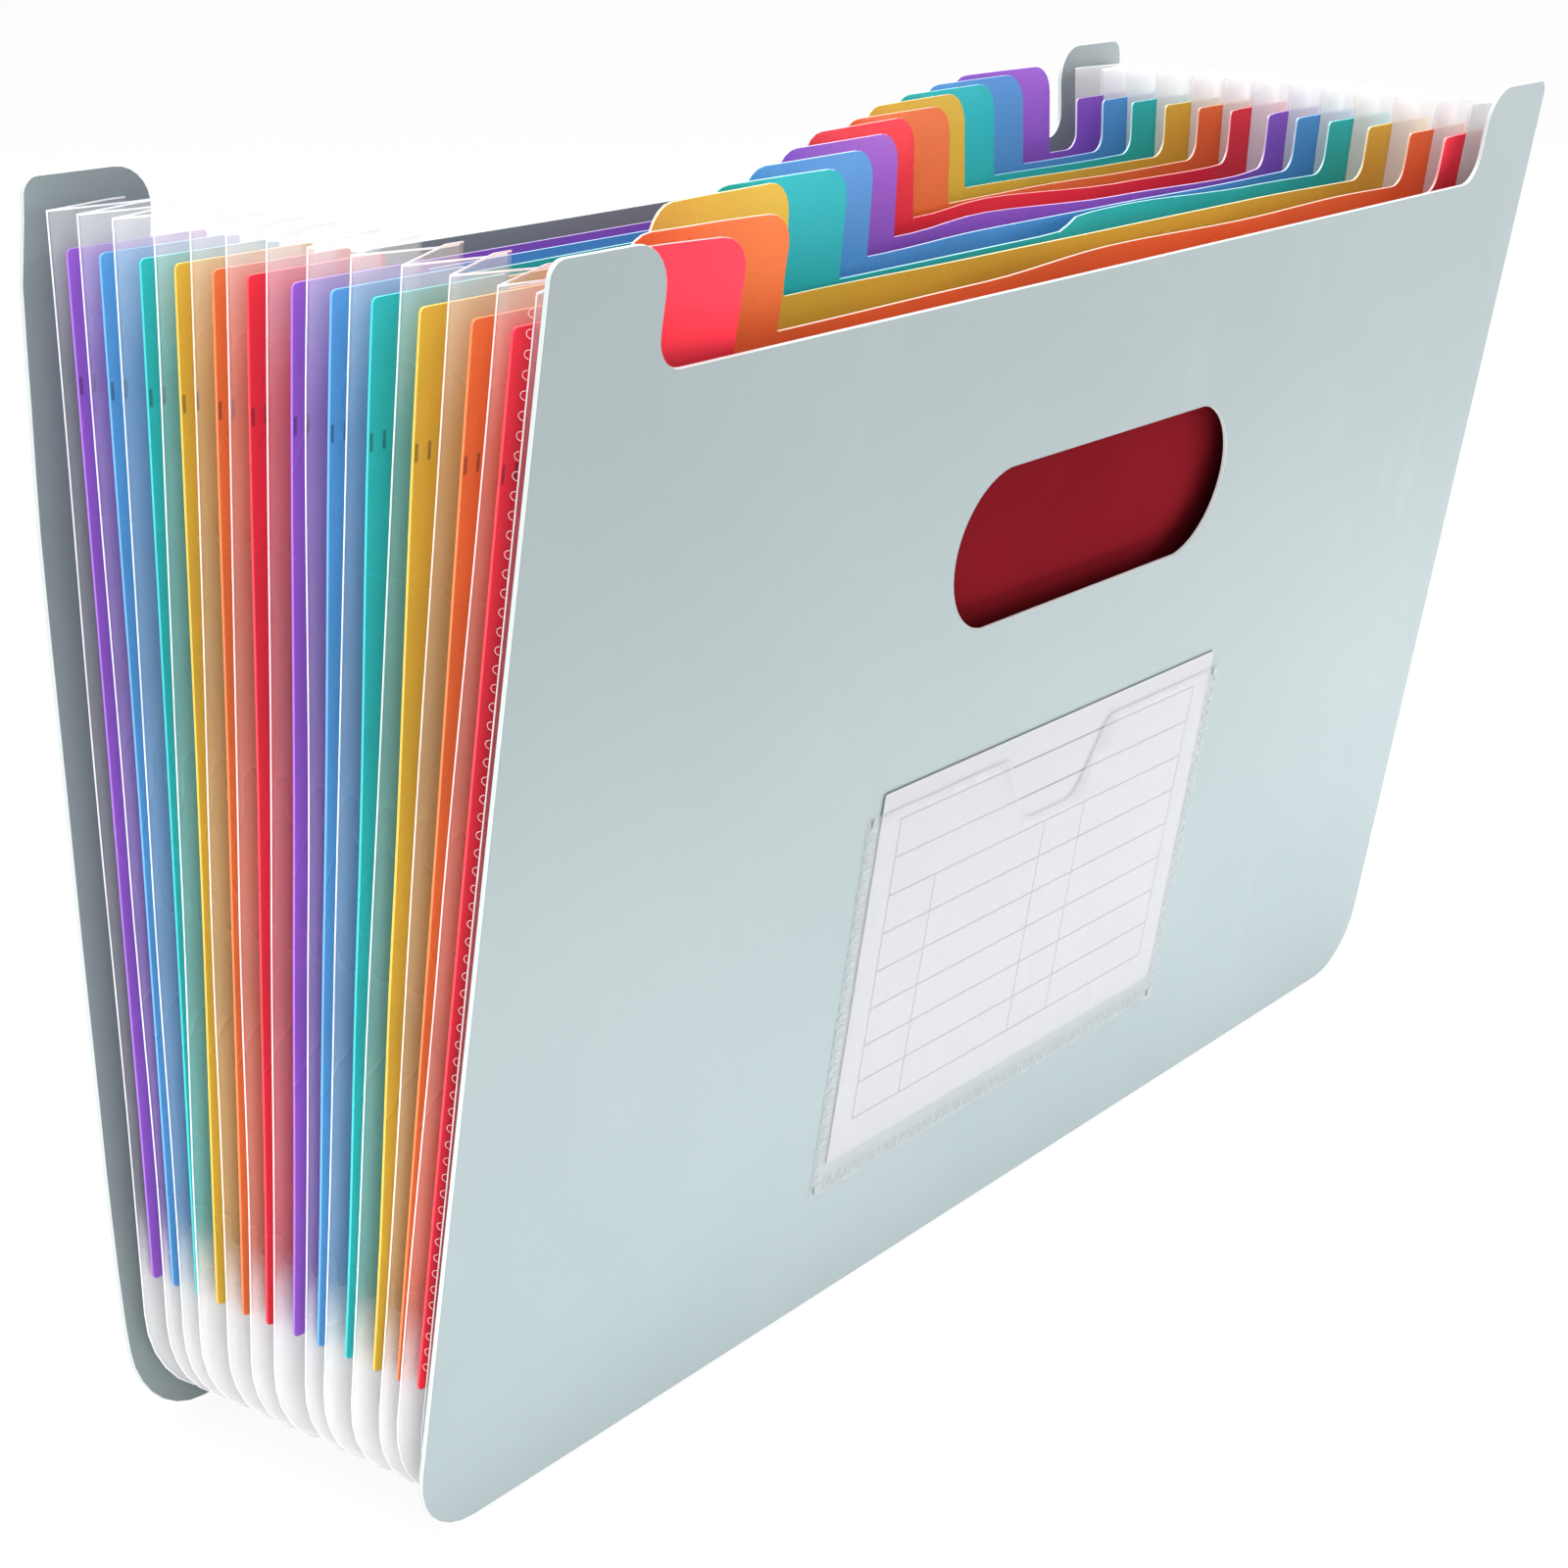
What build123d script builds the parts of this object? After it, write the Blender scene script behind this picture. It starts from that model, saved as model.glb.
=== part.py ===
from build123d import *
import os
from math import cos, radians, sin, tan

os.makedirs("parts", exist_ok=True)

# Fan of sheets: two covers and the dividers between them, leaning in degrees
divider_count = 12
foot_spread = 66.7
front_lean = 9.14
rear_lean = 2.22

# Covers, with an ear at each top corner and a hand hole
cover_width = 340.0
cover_height = 222.0
cover_thickness = 1.0
cover_ear_width = 27.0
cover_ear_rise = 20.5
cover_ear_outer_radius = 3.0
cover_ear_inner_radius = 8.0
cover_ear_root_radius = 6.0
cover_foot_radius = 15.0
handle_length = 98.0
handle_height = 31.5
handle_drop = 49.5

# Pleats: one folded film for each pocket, round both sides and the bottom
pleat_inset = 1.0
pleat_drop = 5.0
pleat_rise = 1.0
pleat_depth = 20.0
pleat_foot_depth = 31.0
pleat_bend_radius = 22.0
pleat_weld_radius = 2.0
pleat_bend_steps = 6
pleat_film = 0.3
pleat_weld_clearance = 0.05

# Dividers, with a low ear at each side and one tab each
divider_thickness = 0.5
divider_inset = 1.0
divider_rise = 30.0
divider_drop = 2.0
divider_foot_radius = 1.0
divider_ear_width = 30.0
divider_ear_rise = 11.5
divider_ear_radius = 1.0
divider_ear_root_radius = 4.0
tab_width = 40.0
tab_rise = 20.0
tab_radius = 6.0
tab_first_inset = 10.4
tab_last_inset = 41.4

# Label pocket and its card, on the front cover
pocket_width = 129.0
pocket_height = 80.5
pocket_rise = 25.5
pocket_film = 0.3
pocket_side_seam = 3.5
pocket_foot_seam = 6.5
thumb_notch_width = 37.0
thumb_notch_floor = 18.0
thumb_notch_depth = 15.5
card_thickness = 0.3
card_height = 77.7
card_side_clearance = 0.5
card_foot_clearance = 0.2
card_face_clearance = 0.15

# Cuts run past what they cut by this much
overrun = 1.0

# Sizes that follow from the ones above
pocket_count = divider_count + 1
pocket_pitch = foot_spread / pocket_count
pocket_turn = radians(front_lean + rear_lean) / pocket_count
cover_shoulder = cover_height - cover_ear_rise
fold_half_width = cover_width / 2 - pleat_inset
divider_width = 2 * (fold_half_width - divider_inset)
divider_top = cover_shoulder - divider_drop
front_reach = cover_height * sin(radians(front_lean)) + cover_thickness / 2 * cos(radians(front_lean))
rear_reach = cover_height * sin(radians(rear_lean)) + cover_thickness / 2 * cos(radians(rear_lean))
front_foot_y = (front_reach - rear_reach - foot_spread) / 2


# Plane of a sheet by its place in the stack, 0 at the front cover, facing the front
def sheet_plane(place, lift=0.0):
    lean = radians(front_lean) - pocket_turn * place
    foot = (0, front_foot_y + pocket_pitch * place, lift)
    return Plane(origin=foot, x_dir=(1, 0, 0), z_dir=(0, -cos(lean), -sin(lean)))


# A cover's lower outside edge is what touches the table
def cover_plane(place, lean):
    return sheet_plane(place, cover_thickness / 2 * sin(radians(lean)))


# Face of a sheet whose top corners stand up as ears
def eared_face(width, foot, shoulder, ear_width, ear_rise, foot_radius, ear_radii):
    half = width / 2
    outer_radius, inner_radius, root_radius = ear_radii
    corners = [
        (-half, foot),
        (half, foot),
        (half, shoulder + ear_rise),
        (half - ear_width, shoulder + ear_rise),
        (half - ear_width, shoulder),
        (ear_width - half, shoulder),
        (ear_width - half, shoulder + ear_rise),
        (-half, shoulder + ear_rise),
    ]
    right_radii = [foot_radius, outer_radius, inner_radius, root_radius]
    radii = [foot_radius] + right_radii + [root_radius, inner_radius, outer_radius]
    with BuildLine() as outline:
        FilletPolyline(*corners, radius=radii, close=True)
    make_face(outline.edges())


# One cover: the eared sheet with its hand hole
def cover_face():
    ear_radii = (cover_ear_outer_radius, cover_ear_inner_radius, cover_ear_root_radius)
    eared_face(
        cover_width, 0, cover_shoulder, cover_ear_width, cover_ear_rise, cover_foot_radius, ear_radii
    )
    with Locations((0, cover_shoulder - handle_drop)):
        SlotOverall(handle_length, handle_height, mode=Mode.SUBTRACT)


# Front cover
front_plane = cover_plane(0, front_lean)
with BuildPart() as front_cover:
    with BuildSketch(front_plane):
        cover_face()
    extrude(amount=cover_thickness / 2, both=True)
front_cover.part.label = "front_cover"
export_step(front_cover.part, "parts/front_cover.step")

# Rear cover, cut with the same die
with BuildPart() as rear_cover:
    with BuildSketch(cover_plane(pocket_count, rear_lean)):
        cover_face()
    extrude(amount=cover_thickness / 2, both=True)
rear_cover.part.label = "rear_cover"
export_step(rear_cover.part, "parts/rear_cover.step")

# Dividers, counted from the front, with tabs that step from left to right
tab_run = divider_width - tab_first_inset - tab_last_inset - tab_width
tab_pitch = tab_run / (divider_count - 1)
for number in range(1, divider_count + 1):
    tab_left = tab_first_inset - divider_width / 2 + tab_pitch * (number - 1)
    tab_right = tab_left + tab_width
    tab_top = divider_top + tab_rise
    with BuildPart() as divider:
        with BuildSketch(sheet_plane(number)):
            ear_radii = (divider_ear_radius, divider_ear_radius, divider_ear_root_radius)
            eared_face(
                divider_width,
                divider_rise,
                divider_top,
                divider_ear_width,
                divider_ear_rise,
                divider_foot_radius,
                ear_radii,
            )
            with BuildLine():
                FilletPolyline(
                    (tab_left, divider_rise + divider_foot_radius),
                    (tab_right, divider_rise + divider_foot_radius),
                    (tab_right, tab_top),
                    (tab_left, tab_top),
                    radius=[0, 0, tab_radius, tab_radius],
                    close=True,
                )
            make_face()
        extrude(amount=divider_thickness / 2, both=True)
    divider.part.label = f"divider_{number}"
    export_step(divider.part, f"parts/divider_{number}.step")

# Stations round a pleat: each has a point of the fold line and the weld that a leaf reaches from there
pleat_top = cover_height - pleat_drop
weld_half_width = fold_half_width - pleat_depth
weld_rise = pleat_rise + pleat_foot_depth
pleat_stations = [((-fold_half_width, pleat_top), (-weld_half_width, pleat_top))]
for side in (-1, 1):
    for step in range(pleat_bend_steps + 1):
        turn_share = step / pleat_bend_steps
        bend = radians(90 * (turn_share if side < 0 else 1 - turn_share))
        fold_point = (
            side * (fold_half_width - pleat_bend_radius + pleat_bend_radius * cos(bend)),
            pleat_rise + pleat_bend_radius - pleat_bend_radius * sin(bend),
        )
        weld_point = (
            side * (weld_half_width - pleat_weld_radius + pleat_weld_radius * cos(bend)),
            weld_rise - pleat_weld_radius + pleat_weld_radius * sin(bend),
        )
        pleat_stations.append((fold_point, weld_point))
pleat_stations.append(((fold_half_width, pleat_top), (weld_half_width, pleat_top)))

# Pleats, counted from the front: a thin V whose two leaves reach the sheets beside it
for number in range(1, pocket_count + 1):
    pocket_plane = sheet_plane(number - 1 / 2)
    pocket_lean = radians(front_lean) - pocket_turn * (number - 1 / 2)
    front_thickness = cover_thickness if number == 1 else divider_thickness
    rear_thickness = cover_thickness if number == pocket_count else divider_thickness
    sections = []
    for fold_point, weld_point in pleat_stations:
        half_gap = pocket_pitch / 2 * cos(pocket_lean) + weld_point[1] * tan(pocket_turn / 2)
        front_weld = half_gap - front_thickness / 2 - pleat_weld_clearance
        rear_weld = half_gap - rear_thickness / 2 - pleat_weld_clearance
        fold_place = pocket_plane.from_local_coords((*fold_point, 0))
        inward = pocket_plane.from_local_coords((*weld_point, 0)) - fold_place
        leaf_depth = inward.length
        crease = pleat_film * leaf_depth / min(front_weld, rear_weld)
        section_plane = Plane(origin=fold_place, x_dir=inward, z_dir=inward.cross(pocket_plane.z_dir))
        corners = [
            (0, 0),
            (leaf_depth, front_weld),
            (leaf_depth, front_weld - pleat_film),
            (crease, 0),
            (leaf_depth, pleat_film - rear_weld),
            (leaf_depth, -rear_weld),
        ]
        sections.append([section_plane.from_local_coords((*corner, 0)) for corner in corners])
    # The leaves twist a little as the fan opens, so each stretch is two flat facets, split alike on both faces
    facets = [Face(Wire.make_polygon(section)) for section in (sections[0], sections[-1])]
    for stretch, (near, far) in enumerate(zip(sections, sections[1:])):
        # The right half is split as the left half in a mirror
        if stretch >= len(sections) // 2:
            near, far = far, near
        for corner in range(len(near)):
            after = (corner + 1) % len(near)
            if corner in (0, 3):
                split = [(near[corner], near[after], far[after]), (near[corner], far[after], far[corner])]
            else:
                split = [(near[corner], near[after], far[corner]), (near[after], far[after], far[corner])]
            facets += [Face(Wire.make_polygon(facet)) for facet in split]
    with BuildPart() as pleat:
        add(Solid(Shell(facets)))
    pleat.part.label = f"pleat_{number}"
    export_step(pleat.part, f"parts/pleat_{number}.step")

# Label pocket: a film welded to the front cover along three edges, open at the top
label_plane = front_plane.offset(cover_thickness / 2)
card_room = card_thickness + 2 * card_face_clearance
room_width = pocket_width - 2 * pocket_side_seam
room_foot = pocket_rise + pocket_foot_seam
pocket_top = pocket_rise + pocket_height
with BuildPart() as label_pocket:
    with BuildSketch(label_plane):
        with Locations((0, pocket_rise)):
            Rectangle(pocket_width, pocket_height, align=(Align.CENTER, Align.MIN))
    extrude(amount=card_room + pocket_film)
    with BuildSketch(label_plane):
        with Locations((0, room_foot)):
            Rectangle(room_width, pocket_height, align=(Align.CENTER, Align.MIN))
    extrude(amount=card_room, mode=Mode.SUBTRACT)
    with BuildSketch(label_plane):
        with BuildLine():
            Polyline(
                (-thumb_notch_width / 2, pocket_top + overrun),
                (-thumb_notch_width / 2, pocket_top),
                (-thumb_notch_floor / 2, pocket_top - thumb_notch_depth),
                (thumb_notch_floor / 2, pocket_top - thumb_notch_depth),
                (thumb_notch_width / 2, pocket_top),
                (thumb_notch_width / 2, pocket_top + overrun),
                close=True,
            )
        make_face()
    extrude(amount=card_room + pocket_film + overrun, mode=Mode.SUBTRACT)
label_pocket.part.label = "label_pocket"
export_step(label_pocket.part, "parts/label_pocket.step")

# Label card, standing in the pocket
with BuildPart() as label_card:
    with BuildSketch(label_plane.offset(card_face_clearance)):
        with Locations((0, room_foot + card_foot_clearance)):
            card_width = room_width - 2 * card_side_clearance
            Rectangle(card_width, card_height, align=(Align.CENTER, Align.MIN))
    extrude(amount=card_thickness)
label_card.part.label = "label_card"
export_step(label_card.part, "parts/label_card.step")
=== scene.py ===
import math

import bmesh
import bpy
from mathutils import Euler, Matrix, Vector, noise


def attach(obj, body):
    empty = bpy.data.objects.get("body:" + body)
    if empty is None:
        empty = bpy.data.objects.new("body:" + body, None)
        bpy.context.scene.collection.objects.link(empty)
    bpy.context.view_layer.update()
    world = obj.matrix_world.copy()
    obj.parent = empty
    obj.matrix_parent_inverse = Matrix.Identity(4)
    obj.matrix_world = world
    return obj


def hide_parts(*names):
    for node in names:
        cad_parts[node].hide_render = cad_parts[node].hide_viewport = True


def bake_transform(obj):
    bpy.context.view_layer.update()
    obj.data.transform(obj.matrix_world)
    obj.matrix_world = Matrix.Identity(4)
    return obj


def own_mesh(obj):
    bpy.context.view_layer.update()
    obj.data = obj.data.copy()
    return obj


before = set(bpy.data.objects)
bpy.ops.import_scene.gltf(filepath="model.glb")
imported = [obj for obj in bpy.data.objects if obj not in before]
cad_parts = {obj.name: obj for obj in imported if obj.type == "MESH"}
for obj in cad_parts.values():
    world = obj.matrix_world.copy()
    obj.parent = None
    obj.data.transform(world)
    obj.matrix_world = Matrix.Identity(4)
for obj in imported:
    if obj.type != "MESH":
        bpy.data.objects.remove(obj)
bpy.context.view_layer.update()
scene = bpy.context.scene

mmPerMetre = 1000
flatUnit = 100  # the flat maps of the sheets count in units of 100 mm

# the fan of sheets as the CAD has it, in mm and degrees
# place 0 is the front cover and the last place is the rear cover
fan = {
    "dividers": 12,
    "frontLean": 9.14,
    "rearLean": 2.22,
    "footSpread": 66.7,
    "width": 340.0,
    "height": 222.0,
    "coverThick": 1.0,
    "dividerThick": 0.5,
}
pockets = fan["dividers"] + 1
turn = math.radians(fan["frontLean"] + fan["rearLean"]) / pockets
pitch = fan["footSpread"] / pockets


def leanOf(place):
    return math.radians(fan["frontLean"]) - turn * place


def reach(lean):
    return fan["height"] * math.sin(lean) + fan["coverThick"] / 2 * math.cos(lean)


frontFoot = (reach(leanOf(0)) - reach(-leanOf(pockets)) - fan["footSpread"]) / 2


def inFolder(place, u, v, n):
    # u across, v up the sheet and n to the front of it, in mm, as a point in metres
    lean = leanOf(place)
    lift = fan["coverThick"] / 2 * math.sin(abs(lean)) if place in (0, pockets) else 0.0
    y = frontFoot + pitch * place - v * math.sin(lean) - n * math.cos(lean)
    z = lift + v * math.cos(lean) - n * math.sin(lean)
    return Vector((u, y, z)) / mmPerMetre


def smooth(t):
    t = min(max(t, 0.0), 1.0)
    return t * t * (3 - 2 * t)


def throughKnots(knots, at):
    # a smooth line through (place, value) knots
    if at <= knots[0][0]:
        return knots[0][1]
    for (x0, y0), (x1, y1) in zip(knots, knots[1:]):
        if at <= x1:
            return y0 + (y1 - y0) * smooth((at - x0) / (x1 - x0))
    return knots[-1][1]


def steps(low, high, pace):
    count = max(1, round((high - low) / pace))
    return [low + (high - low) * k / count for k in range(count + 1)]


# how far the dividers' side margins and the folds stand to the front of the even fan, in mm at three heights
sway = {
    "heights": (45.0, 110.0, 205.0),
    "marginAt": 147.0,
    "margins": [
        (1.2, 1.2, 1.2), (2.2, 2.2, 1.8), (2.4, 1.3, 0.0), (1.5, 0.6, -1.2), (0.6, 0.0, -1.25),
        (0.5, 0.0, -1.05), (-0.4, -1.0, -2.15), (-0.6, -0.8, -1.35), (-1.4, -1.0, -1.4), (-1.0, -0.9, -0.95),
        (-1.3, -1.4, -1.9), (-0.9, -1.2, -1.3),
    ],
    "rightMargins": {10: (-1.6, -1.8, -2.3), 12: (-0.2, -0.2, -0.2)},
    "foldFrom": 95,
    "foldRun": 50,
    "folds": [
        (1.0, 1.2, 1.5), (1.1, 1.7, 2.6), (2.4, 2.1, 2.1), (1.4, 1.1, 1.0), (0.4, 0.0, -0.6),
        (1.4, 0.7, -1.2), (-0.5, -0.9, -1.25), (-0.6, -1.4, -1.5), (-0.8, -1.4, -0.9), (-2.4, -1.4, -0.7),
        (-1.2, -1.9, -1.6), (0.4, -0.7, -1.4), (0.0, -0.5, -0.2),
    ],
    # the rear cover's left edge curls to the rear, by its height
    "rearEdge": [(0, 0.0), (30, -2.5), (49, -3.1), (104, -3.7), (160, -4.1), (199, -2.9), (222, 0.0)],
    "curlFrom": -40,
    "curlRun": 110,
    # how far each divider's top bows to the rear, by its place across; the bow dies out towards the foot
    "bowFoot": 30.0,
    "bowRise": 170.0,
    "bowPower": 1.6,
    "bows": [
        [(-100, -4.5), (0, -5.0), (100, -4.5)],
        [(-115, -2.5), (-95, -3.6), (-34, -2.8), (19, 1.0), (69, -1.0), (110, 0.0)],
        [(-90, 3.0), (-66, 3.8), (-13, 2.8), (35, 2.4), (90, 2.1)],
        [(-70, 0.0), (-46, -0.5), (20, -0.5), (46, 7.2), (62, 7.6), (107, 3.2)],
        [(-60, 0.6), (-25, 1.0), (12, 2.9), (62, 2.2), (105, 1.0)],
        [(-40, 1.5), (-3, 2.2), (30, 6.2), (72, 0.2), (118, -2.8)],
        [(-30, 3.0), (17, 4.8), (48, 8.8), (89, 1.6), (125, 0.0)],
        [(-10, 2.0), (34, 3.0), (75, 3.6), (110, 1.5)],
        [(0, 3.0), (63, 5.4), (118, 2.5)],
        [(20, 3.0), (82, 4.0), (120, 2.0)],
        [(30, 2.0), (90, 3.0), (125, 1.5)],
        [(30, 1.5), (100, 2.0), (128, 1.0)],
    ],
}


def atHeight(row, v):
    return throughKnots(list(zip(sway["heights"], row)), v)


def sheetBow(place, u, v):
    # how far a sheet stands to the front of its flat place
    if place == 0:
        return 0.0
    if place == pockets:
        return throughKnots(sway["rearEdge"], v) * smooth((sway["curlFrom"] - u) / sway["curlRun"])
    margin = sway["margins"][place - 1]
    left = atHeight(margin, v)
    right = atHeight(sway["rightMargins"].get(place, margin), v)
    share = (max(v - sway["bowFoot"], 0.0) / sway["bowRise"]) ** sway["bowPower"]
    knots = [(-sway["marginAt"], left)]
    knots += [(x, -bow * share) for x, bow in sway["bows"][place - 1]]
    knots += [(sway["marginAt"], right)]
    return throughKnots(knots, u)


def foldBow(count, u, v):
    return atHeight(sway["folds"][count - 1], v) * smooth((abs(u) - sway["foldFrom"]) / sway["foldRun"])


def bentSheet(place):
    return lambda u, v: inFolder(place, u, v, sheetBow(place, u, v))


# node helpers
def feed(tree, value, socket):
    if isinstance(value, bpy.types.NodeSocket):
        tree.links.new(value, socket)
    else:
        socket.default_value = value


def sums(tree, kind, first, second=0.0, clamp=False):
    node = tree.nodes.new("ShaderNodeMath")
    node.operation = kind
    node.use_clamp = clamp
    feed(tree, first, node.inputs[0])
    feed(tree, second, node.inputs[1])
    return node.outputs[0]


def times(tree, first, second):
    return sums(tree, "MULTIPLY", first, second)


def larger(tree, first, second):
    return sums(tree, "MAXIMUM", first, second)


def awayFrom(tree, value, at):
    return sums(tree, "ABSOLUTE", sums(tree, "SUBTRACT", value, at))


def between(tree, value, low, high, outLow=0.0, outHigh=1.0):
    node = tree.nodes.new("ShaderNodeMapRange")
    node.interpolation_type = "SMOOTHSTEP"
    feed(tree, value, node.inputs["Value"])
    feed(tree, low, node.inputs["From Min"])
    feed(tree, high, node.inputs["From Max"])
    feed(tree, outLow, node.inputs["To Min"])
    feed(tree, outHigh, node.inputs["To Max"])
    return node.outputs[0]


def mixed(tree, share, first, second, kind="MIX"):
    node = tree.nodes.new("ShaderNodeMix")
    node.data_type = "RGBA"
    node.blend_type = kind
    feed(tree, share, node.inputs[0])
    feed(tree, first, node.inputs[6])
    feed(tree, second, node.inputs[7])
    return node.outputs[2]


def clouds(tree, where, scale, detail=2.0, stretch=(1, 1, 1)):
    if stretch != (1, 1, 1):
        node = tree.nodes.new("ShaderNodeMapping")
        node.inputs["Scale"].default_value = stretch
        tree.links.new(where, node.inputs["Vector"])
        where = node.outputs[0]
    node = tree.nodes.new("ShaderNodeTexNoise")
    node.inputs["Scale"].default_value = scale
    node.inputs["Detail"].default_value = detail
    tree.links.new(where, node.inputs["Vector"])
    return node.outputs["Fac"]


def flat(tree, name="flat"):
    # where on the flat sheet
    node = tree.nodes.new("ShaderNodeUVMap")
    node.uv_map = name
    return node.outputs[0]


def parted(tree, vector):
    node = tree.nodes.new("ShaderNodeSeparateXYZ")
    tree.links.new(vector, node.inputs[0])
    return node.outputs[0], node.outputs[1]


colourSocket, valueSocket = "NodeSocketColor", "NodeSocketFloat"
sheetOutputs = [("Color", colourSocket), ("Roughness", valueSocket), ("Height", valueSocket)]
filmOutputs = sheetOutputs + [("Alpha", valueSocket)]


def finishGroup(name, inputs, outputs):
    group = bpy.data.node_groups.new(name, "ShaderNodeTree")
    for label, kind, value in inputs:
        group.interface.new_socket(label, in_out="INPUT", socket_type=kind).default_value = value
    for label, kind in outputs:
        group.interface.new_socket(label, in_out="OUTPUT", socket_type=kind)
    return group, group.nodes.new("NodeGroupInput"), group.nodes.new("NodeGroupOutput")


print("stage: finishes")

# matt sheet plastic: a fine grain, a faint cloudiness and a few polished rubs
coverSurface = {
    "cloudScale": 1.6,
    "cloudRange": (0.3, 0.7),
    "cloudShare": 0.015,
    "cloudTone": (0.92, 0.97, 0.97, 1),
    "grainScale": 190.0,
    "grainShare": 0.08,
    "grainTone": (0.12, 0.15, 0.155, 1),
    "rubScale": 5.0,
    "rubStretch": (1.0, 0.35, 1.0),
    "rubRange": (0.56, 0.72),
    "rubPolish": -0.08,
    "roughRange": (0.2, 0.8),
    "roughness": (0.50, 0.58),
}


def coverFinish():
    look = coverSurface
    tree, given, made = finishGroup("coverFinish", [("Tone", colourSocket, (0.5, 0.5, 0.5, 1))], sheetOutputs)
    where = flat(tree)
    cloud = clouds(tree, where, look["cloudScale"], detail=3.0)
    grain = clouds(tree, where, look["grainScale"])
    rub = clouds(tree, where, look["rubScale"], detail=6.0, stretch=look["rubStretch"])
    rub = between(tree, rub, *look["rubRange"])
    cloudShare = between(tree, cloud, *look["cloudRange"], 0.0, look["cloudShare"])
    tone = mixed(tree, cloudShare, given.outputs["Tone"], look["cloudTone"])
    tone = mixed(tree, times(tree, grain, look["grainShare"]), tone, look["grainTone"])
    roughness = between(tree, cloud, *look["roughRange"], *look["roughness"])
    feed(tree, tone, made.inputs["Color"])
    feed(tree, sums(tree, "ADD", roughness, times(tree, rub, look["rubPolish"])), made.inputs["Roughness"])
    feed(tree, grain, made.inputs["Height"])
    return tree


# coloured sheet plastic: a satin grain, soft clouds, painted shade deep in the pockets, with two slits at
# each margin and a painted highlight on the cut edges along the top; places are in flat units
dividerSurface = {
    "cloudScale": 2.4,
    "cloudRange": (0.35, 0.7),
    "cloudShare": 0.10,
    "cloudTone": (0.02, 0.02, 0.03, 1),
    "grainScale": 260.0,
    "roughRange": (0.3, 0.7),
    "roughness": (0.24, 0.32),
    # painted shade: below these heights and inside these sides, the sheet's tone is multiplied by a darker
    # colour
    "shadeUp": (1.93, 1.72),
    "shadeSide": (1.44, 1.30),
    "slitSide": 1.660,
    "slitApart": 0.014,
    "slitUp": 1.89,
    "slitWidth": (0.0045, 0.002),
    "slitLength": (0.016, 0.013),
    "slitShare": 0.55,
    "slitTone": (0.03, 0.03, 0.05, 1),
    "slitHeight": -3.0,
    # painted highlight: the cut edges along the top, between the ears, are mixed towards this near white
    "glintUp": (1.975, 1.985),
    "glintSide": (1.44, 1.36),
    "glintTone": (0.95, 0.95, 0.93, 1),
}


def dividerFinish():
    look = dividerSurface
    inputs = [("Tone", colourSocket, (0.5, 0.5, 0.5, 1)), ("Edge", valueSocket, 0.0)]
    inputs += [("Depth", colourSocket, (1, 1, 1, 1))]
    tree, given, made = finishGroup("dividerFinish", inputs, sheetOutputs)
    where = flat(tree)
    cloud = clouds(tree, where, look["cloudScale"])
    grain = clouds(tree, where, look["grainScale"], detail=1.0)
    across, up = parted(tree, where)
    side = sums(tree, "ABSOLUTE", across)
    cloudShare = between(tree, cloud, *look["cloudRange"], 0.0, look["cloudShare"])
    tone = mixed(tree, cloudShare, given.outputs["Tone"], look["cloudTone"])
    # painted shade deep in the pockets, away from the top and the margins
    shadeMask = times(tree, between(tree, up, *look["shadeUp"]), between(tree, side, *look["shadeSide"]))
    tone = mixed(tree, shadeMask, tone, given.outputs["Depth"], "MULTIPLY")
    slitAside = awayFrom(tree, awayFrom(tree, side, look["slitSide"]), look["slitApart"])
    slitAside = between(tree, slitAside, *look["slitWidth"])
    slitAbove = between(tree, awayFrom(tree, up, look["slitUp"]), *look["slitLength"])
    slit = times(tree, slitAside, slitAbove)
    tone = mixed(tree, times(tree, slit, look["slitShare"]), tone, look["slitTone"])
    # painted highlight on the cut edges along the top
    edgeGlint = times(tree, between(tree, up, *look["glintUp"]), between(tree, side, *look["glintSide"]))
    tone = mixed(tree, times(tree, edgeGlint, given.outputs["Edge"]), tone, look["glintTone"])
    feed(tree, tone, made.inputs["Color"])
    feed(tree, between(tree, cloud, *look["roughRange"], *look["roughness"]), made.inputs["Roughness"])
    feed(tree, sums(tree, "ADD", grain, times(tree, slit, look["slitHeight"])), made.inputs["Height"])
    return tree


# frosted film: an uneven haze with fine scratches down its length, milkier towards its top edge and its foot;
# places are in flat units
filmSurface = {
    "cloudScale": 7.0,
    "cloudStretch": (3.0, 1.0, 1.0),
    "cloudRange": (0.3, 0.7),
    "uneven": (0.9, 1.1),
    "dustScale": 120.0,
    "dustStretch": (1.0, 0.3, 1.0),
    "dustRange": (0.4, 0.8),
    "dustShare": 0.12,
    "dustHeight": 0.15,
    "topRise": (1.90, 2.12),
    "footRise": (0.46, 0.27),
    # the right-hand side catches more light
    "rightAlong": (4.8, 5.6),
    "rightLift": 0.14,
    "rightGain": 9.0,
}


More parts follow.
